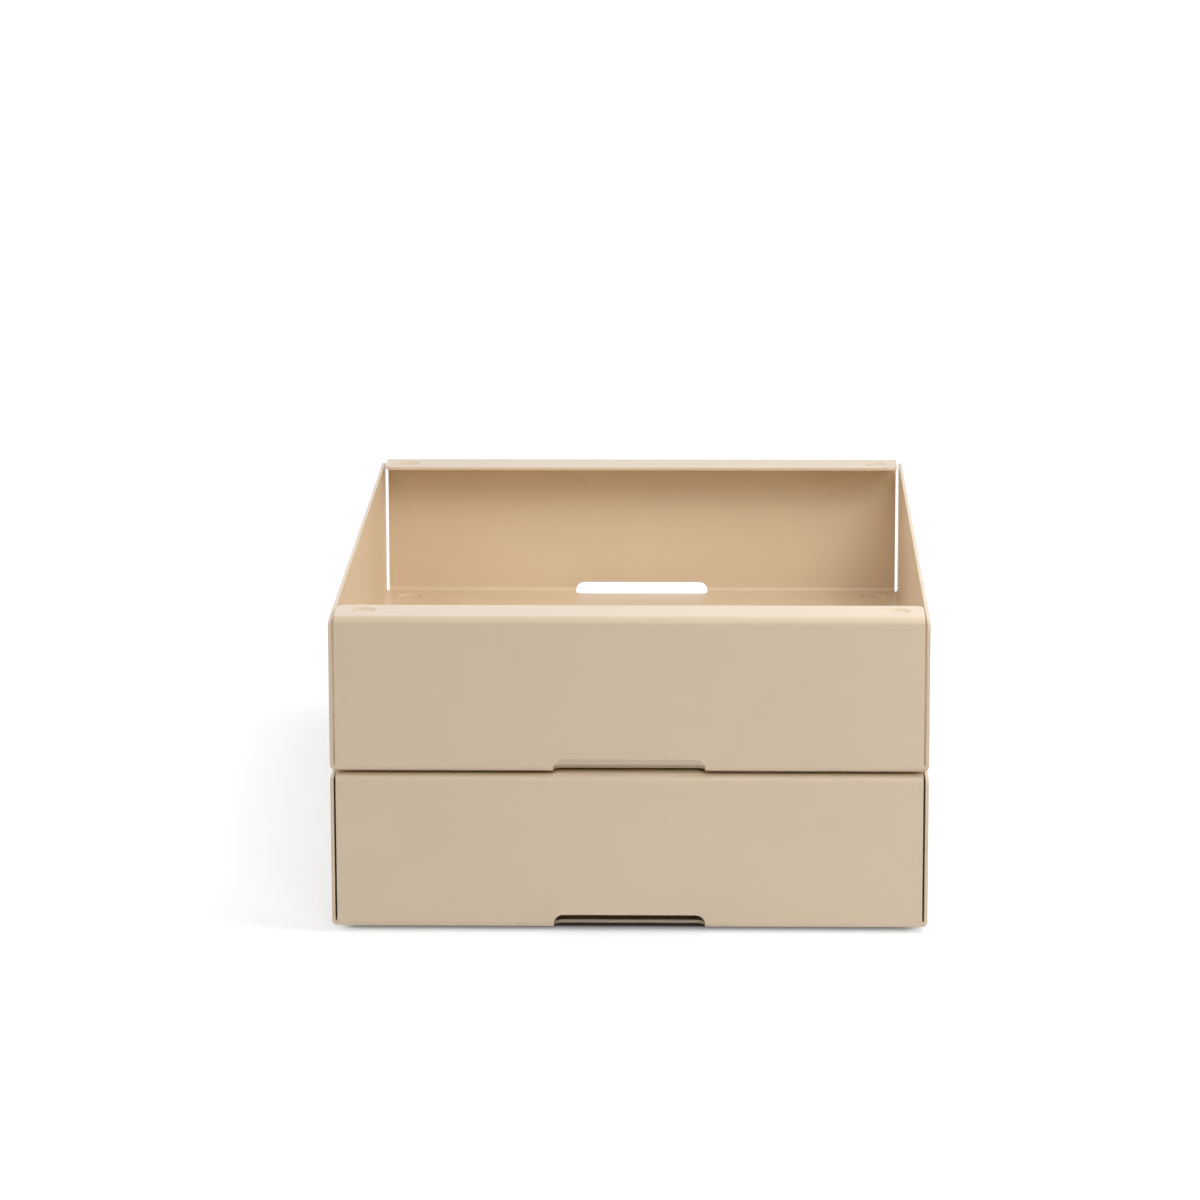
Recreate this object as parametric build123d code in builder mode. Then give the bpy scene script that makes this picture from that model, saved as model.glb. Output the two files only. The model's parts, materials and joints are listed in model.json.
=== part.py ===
"""Two stacking storage boxes, each folded from one steel sheet and standing on four soft pads.

The boxes are alike. Each is an open tray whose front and back walls end in an inward lip.
Four dishes pressed into the lips take the feet of the box above.

Frame: origin on the ground under the middle of the stack, +X to the right, +Y to the back,
+Z up. The front faces -Y. All sizes are in millimetres.
"""
import os
from math import radians, tan

from build123d import *

# Outside of one box
width = 250.0
depth = 350.0
height = 66.3

# Folded sheet
sheet = 1.4
bend_radius = 3.2

# Open slits at the upright corners: the front ones end above the bend, the back ones in the floor
front_slit = 0.8
front_slit_foot = 3.0
back_slit = 1.3
back_slit_reach = 4.0

# Side walls stand lower than the lips
side_drop = 2.0
side_corner_radius = 2.0

# Lips of the front and back walls
lip_depth = 23.5
lip_corner_radius = 4.0

# Finger slot across the bend between floor and wall, front and back
slot_width = 63.5
slot_rise = 5.6
slot_reach = 8.0
slot_corner_radius = 4.0

# Pressed dimples: dishes in the lips above, feet in the floor below
dimple_inset = 13.5
dimple_floor_radius = 4.6
dimple_slope = 40.0
dimple_floor_bend = 1.0
dimple_under_bend = 0.5
dimple_margin = 1.0
dish_drop = 0.9
foot_drop = 1.0

# Soft pad under each pressed foot
pad_radius = 4.0
pad_thickness = 1.0
pad_edge_radius = 0.3

# How far a cutter runs past the sheet
overrun = 1.0

# Heights of the two boxes, set by how the pads sit on the ground and in the dishes
ground_gap = foot_drop + pad_thickness
stack_gap = ground_gap - dish_drop
lower_base = ground_gap
upper_base = lower_base + height + stack_gap

# Places that several features share
side_inside = width / 2 - sheet
side_top = height - side_drop
dimple_x = width / 2 - dimple_inset
dimple_y = depth / 2 - dimple_inset
corners = {
    "front_left": (-dimple_x, -dimple_y),
    "front_right": (dimple_x, -dimple_y),
    "back_left": (-dimple_x, dimple_y),
    "back_right": (dimple_x, dimple_y),
}


def folded_block(inset):
    """Solid within the folded outline, its faces inset from the outside of the sheet."""
    radius = bend_radius - inset
    with BuildPart() as block:
        with BuildSketch(Plane.right):
            with Locations((0, height / 2)):
                RectangleRounded(depth - 2 * inset, height - 2 * inset, radius)
        extrude(amount=width / 2, both=True)
        with BuildSketch(Plane.front) as front_view:
            with Locations((0, inset)):
                Rectangle(width - 2 * inset, height, align=(Align.CENTER, Align.MIN))
            fillet(front_view.vertices().group_by(Axis.Y)[0], radius)
        extrude(amount=depth / 2, both=True, mode=Mode.INTERSECT)
    return block.part


def dimple_rim(drop):
    """Radius at which the slope of a dimple would meet the flat sheet."""
    return dimple_floor_radius + drop / tan(radians(dimple_slope))


def pressed_dimple(drop):
    """Round dimple at constant sheet thickness, with the sheet's upper face at zero."""
    rim = dimple_rim(drop)
    with BuildPart() as dimple:
        with BuildSketch(Plane.front):
            with BuildLine():
                upper_face = FilletPolyline(
                    (0, -drop),
                    (dimple_floor_radius, -drop),
                    (rim, 0),
                    (rim + dimple_margin, 0),
                    radius=(dimple_floor_bend, dimple_under_bend + sheet),
                )
                offset(upper_face, amount=sheet, side=Side.RIGHT)
            make_face()
        revolve(axis=Axis.Z)
    return dimple.part


def open_mouth():
    """Open the top between the lips, and free the ends of the lips from the side walls."""
    with BuildSketch(Plane.XY.offset(height - sheet - overrun)) as mouth:
        Rectangle(2 * side_inside, depth - 2 * bend_radius)
        for end, slit in ((-depth / 2, front_slit), (depth / 2, back_slit)):
            with Locations((0, end)):
                RectangleRounded(
                    2 * (side_inside - slit), 2 * lip_depth, lip_corner_radius, mode=Mode.SUBTRACT
                )
    extrude(mouth.sketch, amount=sheet + 2 * overrun, mode=Mode.SUBTRACT)


def lower_side_walls():
    """Cut the side walls down to their own height, with rounded upper corners."""
    within_slits = side_inside - min(front_slit, back_slit) / 2
    for outside in (Plane.left, Plane.right):
        with BuildSketch(outside.offset(within_slits)) as above:
            with Locations((0, side_top)):
                Rectangle(depth + 2 * overrun, 2 * (side_drop + side_corner_radius))
            with Locations((0, side_top / 2)):
                RectangleRounded(depth, side_top, side_corner_radius, mode=Mode.SUBTRACT)
        extrude(above.sketch, amount=width / 2, mode=Mode.SUBTRACT)


def slit_corners():
    """Part the end walls from the side walls, with a round end at the foot of each slit."""
    front_x = side_inside - front_slit / 2
    with BuildSketch(Plane.front.offset(depth / 2 - bend_radius)) as front_slits:
        with Locations(*[(x, front_slit_foot + height / 2) for x in (-front_x, front_x)]):
            SlotOverall(height, front_slit, rotation=90)
    extrude(front_slits.sketch, amount=bend_radius, mode=Mode.SUBTRACT)

    back_x = side_inside - back_slit / 2
    with BuildSketch() as back_slits:
        with Locations((-back_x, depth / 2), (back_x, depth / 2)):
            SlotOverall(2 * back_slit_reach, back_slit, rotation=90)
    extrude(back_slits.sketch, amount=height, mode=Mode.SUBTRACT)


def cut_finger_slots():
    """Cut one slot across each end bend: a part that rises up the wall, a part in the floor."""
    for outside in (Plane.front, Plane.back):
        with BuildSketch(outside.offset(depth / 2 - bend_radius)) as rise:
            RectangleRounded(slot_width, 2 * slot_rise, slot_corner_radius)
        extrude(rise.sketch, amount=bend_radius, mode=Mode.SUBTRACT)
    with BuildSketch() as reach:
        with Locations((0, -depth / 2), (0, depth / 2)):
            RectangleRounded(slot_width, 2 * slot_reach, slot_corner_radius)
    extrude(reach.sketch, amount=sheet, mode=Mode.SUBTRACT)


def press_corners(drop, level):
    """Press a dimple into the sheet near each corner, where its upper face is at a level."""
    dimple = pressed_dimple(drop)
    with Locations(*[(x, y, level) for x, y in corners.values()]):
        Cylinder(
            dimple_rim(drop) + dimple_margin,
            sheet,
            align=(Align.CENTER, Align.CENTER, Align.MAX),
            mode=Mode.SUBTRACT,
        )
        add(dimple)


os.makedirs("parts", exist_ok=True)

outside_block = folded_block(0)
inside_block = folded_block(sheet)
with BuildPart() as shell:
    add(outside_block)
    add(inside_block, mode=Mode.SUBTRACT)
    open_mouth()
    lower_side_walls()
    slit_corners()
    cut_finger_slots()
    press_corners(dish_drop, height)
    press_corners(foot_drop, sheet)

for box_name, base in (("lower", lower_base), ("upper", upper_base)):
    with BuildPart() as box_shell:
        with Locations((0, 0, base)):
            add(shell.part)
    box_shell.part.label = f"{box_name}_box_shell"
    export_step(box_shell.part, f"parts/{box_shell.part.label}.step")

    for corner, (x, y) in corners.items():
        with BuildPart(Plane.XY.offset(base - ground_gap)) as pad:
            with Locations((x, y)):
                Cylinder(pad_radius, pad_thickness, align=(Align.CENTER, Align.CENTER, Align.MIN))
            fillet(pad.edges().group_by(Axis.Z)[0], pad_edge_radius)
        pad.part.label = f"{box_name}_foot_pad_{corner}"
        export_step(pad.part, f"parts/{pad.part.label}.step")
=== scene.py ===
"""Studio scene of two stacked storage boxes, folded from powder-coated steel sheet.

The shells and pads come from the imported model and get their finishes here. Lengths are in metres,
except for the camera's lens and sensor, which are in millimetres.
"""
import json
import math

import bpy
from mathutils import Matrix, Vector


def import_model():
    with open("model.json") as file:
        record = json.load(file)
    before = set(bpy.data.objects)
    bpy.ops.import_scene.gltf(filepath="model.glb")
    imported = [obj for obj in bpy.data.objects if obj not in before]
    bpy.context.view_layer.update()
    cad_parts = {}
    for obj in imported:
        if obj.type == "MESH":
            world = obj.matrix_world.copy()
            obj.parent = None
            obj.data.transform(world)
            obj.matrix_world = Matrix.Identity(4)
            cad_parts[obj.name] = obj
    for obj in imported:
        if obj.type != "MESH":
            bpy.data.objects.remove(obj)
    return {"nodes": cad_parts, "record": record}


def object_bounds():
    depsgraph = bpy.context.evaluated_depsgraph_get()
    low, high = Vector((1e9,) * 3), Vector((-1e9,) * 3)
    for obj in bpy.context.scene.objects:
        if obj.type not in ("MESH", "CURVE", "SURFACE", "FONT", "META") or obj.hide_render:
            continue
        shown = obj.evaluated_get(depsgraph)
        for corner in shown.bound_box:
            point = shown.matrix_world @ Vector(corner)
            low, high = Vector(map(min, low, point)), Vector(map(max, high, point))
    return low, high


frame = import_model()
cad_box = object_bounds()

WHITE = (1.0, 1.0, 1.0, 1.0)

# Camera at the photograph's angle
CAMERA_PLACE = Vector((0.03718, -2.21773, 0.59511))
CAMERA_YAW = math.radians(-1.377)
CAMERA_PITCH = math.radians(12.473)
CAMERA_ROLL = math.radians(-0.175)
CAMERA_LENS = 151.587
CAMERA_SENSOR = 36.0
CAMERA_NEAREST = 0.05
CAMERA_FARTHEST = 100.0

# Noise: its roughness, and the range in which nearly all of its values lie. Each PATTERN below
# is a noise's scale, in features to the metre, and its detail, in octaves
NOISE_ROUGHNESS = 0.55
NOISE_RANGE = (0.3, 0.7)

# Powder coat: each SHADE bounds a factor on the colour, each DEPTH is a height of the surface,
# and the glaze is the smooth skin over the colour
COAT_COLOUR = (0.765, 0.609, 0.428)
COAT_DRIFT_PATTERN = (18.0, 3.0)
COAT_DRIFT_SHADE = (0.985, 1.015)
COAT_GRAIN_PATTERN = (2000.0, 2.0)
COAT_GRAIN_SHADE = (0.988, 1.012)
COAT_SHINE_PATTERN = (700.0, 2.0)
COAT_ROUGHNESS = (0.31, 0.37)
COAT_SPECULAR = 1.0
COAT_PEEL_PATTERN = (450.0, 2.0)
COAT_PEEL_DEPTH = 0.000015
COAT_FINE_PATTERN = (2400.0, 2.0)
COAT_FINE_DEPTH = 0.000004
COAT_EDGE_RADIUS = 0.0004
COAT_EDGE_SAMPLES = 6
COAT_GLAZE_WEIGHT = 0.5
COAT_GLAZE_ROUGHNESS = 0.35

# Foot pads
PAD_COLOUR = (0.52, 0.50, 0.45)
PAD_CLOUD_PATTERN = (350.0, 3.0)
PAD_CLOUD_SHADE = (0.90, 1.10)
PAD_SHINE_PATTERN = (900.0, 2.0)
PAD_ROUGHNESS = (0.55, 0.70)
PAD_GRAIN_PATTERN = (2500.0, 3.0)
PAD_GRAIN_DEPTH = 0.00003

# White floor: its tone, and where it is seen, the share of its light and shadow that shows (cooler,
# against the warm light from the object) and a white glow added to it, by the distance from just
# inside the object's outline. The glow is none under the object and weaker near it, so it paints
# shade: the dark line under the box and the fading of its shadow beside it
FLOOR_WIDTH = 60.0
FLOOR_GAP = 0.00005
FLOOR_ROUGHNESS = 0.9
FLOOR_SPECULAR = 0.1
FLOOR_TONE = 0.92
FLOOR_SHADOW = (0.505, 0.515, 0.535)
FLOOR_INSET = 0.010
FLOOR_WHITE_WITH_PAINTED_SHADE = (
    (0.0, 0.0),
    (0.004, 0.30),
    (0.006, 0.50),
    (0.009, 0.60),
    (0.020, 0.63),
    (0.030, 0.65),
    (0.045, 0.68),
    (0.065, 0.725),
    (0.09, 0.78),
    (0.14, 0.80),
    (0.25, 0.82),
    (0.60, 0.89),
    (1.50, 0.96),
)

# Light on the object: share of the white surroundings, then each lamp's place, width and power
WORLD_LIGHT = 0.06
LAMP_AIM = Vector((0.0, 0.0, 0.08))
LAMPS = {
    "overhead_right": ((0.40, -0.25, 0.60), 0.3, 2.10),
    "overhead_left": ((-0.45, -0.15, 0.55), 0.3, 0.76),
    "overhead_back": ((0.10, 0.10, 0.55), 0.3, 0.51),
    "front_low": ((0.31, -1.79, 0.93), 0.7, 3.30),
    "front_high": ((0.27, -1.51, 1.37), 0.7, 5.70),
    "right_side": ((1.70, -0.62, 0.93), 0.7, 5.80),
    "left_side": ((-1.50, -0.20, 0.35), 0.7, 3.50),
    "back_right": ((1.24, 1.48, 0.60), 0.7, 4.80),
    "back_left": ((-1.24, 1.48, 0.60), 0.7, 4.80),
}


def feed(tree, value, socket):
    """Link an output to an input socket, or set the socket to a plain value."""
    if isinstance(value, bpy.types.NodeSocket):
        tree.links.new(value, socket)
    else:
        socket.default_value = value


def feed_inputs(tree, target, **inputs):
    """Feed a node's inputs by their names, with _ for each space."""
    for name, value in inputs.items():
        feed(tree, value, target.inputs[name.replace("_", " ")])


def node(tree, kind, **inputs):
    """Add a node and feed its inputs by their names."""
    made = tree.nodes.new(kind)
    feed_inputs(tree, made, **inputs)
    return made


def calculate(tree, kind, *values, **settings):
    """Result of a maths or mix node with the given settings, its inputs fed in their order."""
    made = tree.nodes.new(kind)
    for name, value in settings.items():
        setattr(made, name, value)
    for value, socket in zip(values, [entry for entry in made.inputs if entry.enabled]):
        feed(tree, value, socket)
    return next(entry for entry in made.outputs if entry.enabled)


def noise(tree, where, pattern):
    """Noise over object coordinates, so that it stays on the piece in every pose."""
    scale, detail = pattern
    made = node(
        tree,
        "ShaderNodeTexNoise",
        Vector=where,
        Scale=scale,
        Detail=detail,
        Roughness=NOISE_ROUGHNESS,
    )
    return made.outputs["Fac"]


def noise_between(tree, where, pattern, limits):
    """Noise whose usual range is spread over the given limits."""
    made = node(
        tree,
        "ShaderNodeMapRange",
        Value=noise(tree, where, pattern),
        From_Min=NOISE_RANGE[0],
        From_Max=NOISE_RANGE[1],
        To_Min=limits[0],
        To_Max=limits[1],
    )
    return made.outputs["Result"]


def shaded(tree, colour, factor):
    """A colour made lighter or darker by a factor."""
    return calculate(tree, "ShaderNodeVectorMath", colour, factor, operation="SCALE")


def bump(tree, where, pattern, depth, **under):
    """Normal of a surface raised by a noise of the given depth, over a Normal if one is given."""
    height = noise(tree, where, pattern)
    made = node(tree, "ShaderNodeBump", Height=height, Distance=depth, **under)
    return made.outputs["Normal"]


def new_material(name):
    """A material with a Principled shader, its tree and its object coordinates."""
    material = bpy.data.materials.new(name)
    material.use_nodes = True
    tree = material.node_tree
    shader = tree.nodes["Principled BSDF"]
    coordinates = node(tree, "ShaderNodeTexCoord").outputs["Object"]
    return material, tree, shader, coordinates


def powder_coat():
    """Matte powder coat: a fine orange peel, a finer grain, and colour that drifts a little."""
    material, tree, shader, where = new_material("powder_coat_finish")
    drift = noise_between(tree, where, COAT_DRIFT_PATTERN, COAT_DRIFT_SHADE)
    grain = noise_between(tree, where, COAT_GRAIN_PATTERN, COAT_GRAIN_SHADE)
    shade = calculate(tree, "ShaderNodeMath", drift, grain, operation="MULTIPLY")
    edge = node(tree, "ShaderNodeBevel", Radius=COAT_EDGE_RADIUS)
    edge.samples = COAT_EDGE_SAMPLES
    peel = bump(tree, where, COAT_PEEL_PATTERN, COAT_PEEL_DEPTH, Normal=edge.outputs["Normal"])
    feed_inputs(
        tree,
        shader,
        Base_Color=shaded(tree, COAT_COLOUR, shade),
        Roughness=noise_between(tree, where, COAT_SHINE_PATTERN, COAT_ROUGHNESS),
        Specular_IOR_Level=COAT_SPECULAR,
        Normal=bump(tree, where, COAT_FINE_PATTERN, COAT_FINE_DEPTH, Normal=peel),
        Coat_Weight=COAT_GLAZE_WEIGHT,
        Coat_Roughness=COAT_GLAZE_ROUGHNESS,
    )
    return material


def pad_rubber():
    """Soft greyish pad with a fine moulded grain and a few paler clouds."""
    material, tree, shader, where = new_material("pad_rubber_finish")
    clouds = noise_between(tree, where, PAD_CLOUD_PATTERN, PAD_CLOUD_SHADE)
    feed_inputs(
        tree,
        shader,
        Base_Color=shaded(tree, PAD_COLOUR, clouds),
        Roughness=noise_between(tree, where, PAD_SHINE_PATTERN, PAD_ROUGHNESS),
        Normal=bump(tree, where, PAD_GRAIN_PATTERN, PAD_GRAIN_DEPTH),
    )
    return material


def finish_nodes():
    """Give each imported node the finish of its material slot."""
    finishes = {"powder_coat": powder_coat(), "foot_pad": pad_rubber()}
    slot_of = {row["node"]: row["material_slot"] for row in frame["record"]["subparts"]}
    for name, piece in frame["nodes"].items():
        for slot in piece.material_slots:
            slot.material = finishes[slot_of[name]]


def seen_rays(tree):
    """1 on rays by which the camera, a reflection or a see-through part sees a surface, else 0."""
    rays = node(tree, "ShaderNodeLightPath").outputs
    seen = rays["Is Camera Ray"]
    for other in ("Is Glossy Ray", "Is Transmission Ray"):
        seen = calculate(tree, "ShaderNodeMath", seen, rays[other], operation="MAXIMUM")
    return seen


def footprint_distance(tree, where):
    """Distance over the floor from a rectangle just inside the object's outline."""
    half_x, half_y, _ = (max(abs(low), abs(high)) - FLOOR_INSET for low, high in zip(*cad_box))
    kind = "ShaderNodeVectorMath"
    size = calculate(tree, kind, where, operation="ABSOLUTE")
    past = calculate(tree, kind, size, (half_x, half_y, 0.0), operation="SUBTRACT")
    outside = calculate(tree, kind, past, (0.0, 0.0, 0.0), operation="MAXIMUM")
    return calculate(tree, kind, outside, operation="LENGTH")


def floor_white_with_painted_shade(tree, distance):
    """Glow on the floor by the distance from the object, none under it: painted shade near it."""
    reach = FLOOR_WHITE_WITH_PAINTED_SHADE[-1][0]
    share = calculate(tree, "ShaderNodeMath", distance, reach, operation="DIVIDE")
    spread = calculate(tree, "ShaderNodeMath", share, operation="SQRT")
    painted_floor_light = node(tree, "ShaderNodeValToRGB", Fac=spread)
    stops = painted_floor_light.color_ramp.elements
    for place, _ in FLOOR_WHITE_WITH_PAINTED_SHADE[1:-1]:
        stops.new(math.sqrt(place / reach))
    for stop, (_, strength) in zip(stops, FLOOR_WHITE_WITH_PAINTED_SHADE):
        stop.color = (strength, strength, strength, 1.0)
    return painted_floor_light.outputs["Color"]


def floor():
    """Wide white floor: part of the object's shadow, painted shade near it, white background."""
    bpy.ops.mesh.primitive_plane_add(size=FLOOR_WIDTH, location=(0, 0, -FLOOR_GAP))
    plane = bpy.context.object
    plane.name = "studio_floor"
    material, tree, shader, where = new_material("studio_floor_white")
    seen = seen_rays(tree)
    unseen_tone = (FLOOR_TONE, FLOOR_TONE, FLOOR_TONE, 1.0)
    seen_tone = (*(FLOOR_TONE * share for share in FLOOR_SHADOW), 1.0)
    tone = calculate(tree, "ShaderNodeMix", seen, unseen_tone, seen_tone, data_type="RGBA")
    # Painted shade: the glow is none under the object and weaker near it
    painted_floor_light = floor_white_with_painted_shade(tree, footprint_distance(tree, where))
    shown_painted_light = calculate(tree, "ShaderNodeMath", painted_floor_light, seen, operation="MULTIPLY")
    feed_inputs(
        tree,
        shader,
        Base_Color=tone,
        Roughness=FLOOR_ROUGHNESS,
        Specular_IOR_Level=FLOOR_SPECULAR,
        Emission_Color=WHITE,
        Emission_Strength=shown_painted_light,
    )
    plane.data.materials.append(material)


def world():
    """Even white surroundings: dimmer as light on the object than as a background."""
    surroundings = bpy.data.worlds.new("studio")
    surroundings.use_nodes = True
    bpy.context.scene.world = surroundings
    tree = surroundings.node_tree
    level = node(
        tree, "ShaderNodeMapRange", Value=seen_rays(tree), To_Min=WORLD_LIGHT, To_Max=1.0
    )
    feed_inputs(tree, tree.nodes["Background"], Color=WHITE, Strength=level.outputs["Result"])


def soft_box(name, place, size, power):
    """Square area light facing the object, which neither the camera nor a reflection shows."""
    light = bpy.data.lights.new(name, "AREA")
    light.shape = "SQUARE"
    light.size = size
    light.energy = power
    lamp = bpy.data.objects.new(name, light)
    lamp.location = place
    lamp.rotation_mode = "QUATERNION"
    lamp.rotation_quaternion = (LAMP_AIM - Vector(place)).to_track_quat("-Z", "Y")
    lamp.visible_camera = False
    lamp.visible_glossy = False
    bpy.context.scene.collection.objects.link(lamp)


def camera():
    """Camera fitted to the outlines of both boxes."""
    forward = Vector((
        math.sin(CAMERA_YAW) * math.cos(CAMERA_PITCH),
        math.cos(CAMERA_YAW) * math.cos(CAMERA_PITCH),
        -math.sin(CAMERA_PITCH),
    ))
    right = Vector((math.cos(CAMERA_YAW), -math.sin(CAMERA_YAW), 0.0))
    up = right.cross(forward)
    turned_right = math.cos(CAMERA_ROLL) * right + math.sin(CAMERA_ROLL) * up
    turned_up = -math.sin(CAMERA_ROLL) * right + math.cos(CAMERA_ROLL) * up
    axes = Matrix((turned_right, turned_up, -forward)).transposed()
    data = bpy.data.cameras.new("camera")
    data.sensor_width = CAMERA_SENSOR
    data.lens = CAMERA_LENS
    data.clip_start = CAMERA_NEAREST
    data.clip_end = CAMERA_FARTHEST
    eye = bpy.data.objects.new("camera", data)
    eye.matrix_world = Matrix.Translation(CAMERA_PLACE) @ axes.to_4x4()
    bpy.context.scene.collection.objects.link(eye)
    bpy.context.scene.camera = eye


finish_nodes()
floor()
world()
for lamp_name, (lamp_place, lamp_size, lamp_power) in LAMPS.items():
    soft_box(lamp_name, lamp_place, lamp_size, lamp_power)
camera()

bpy.context.scene.view_settings.view_transform = "Standard"
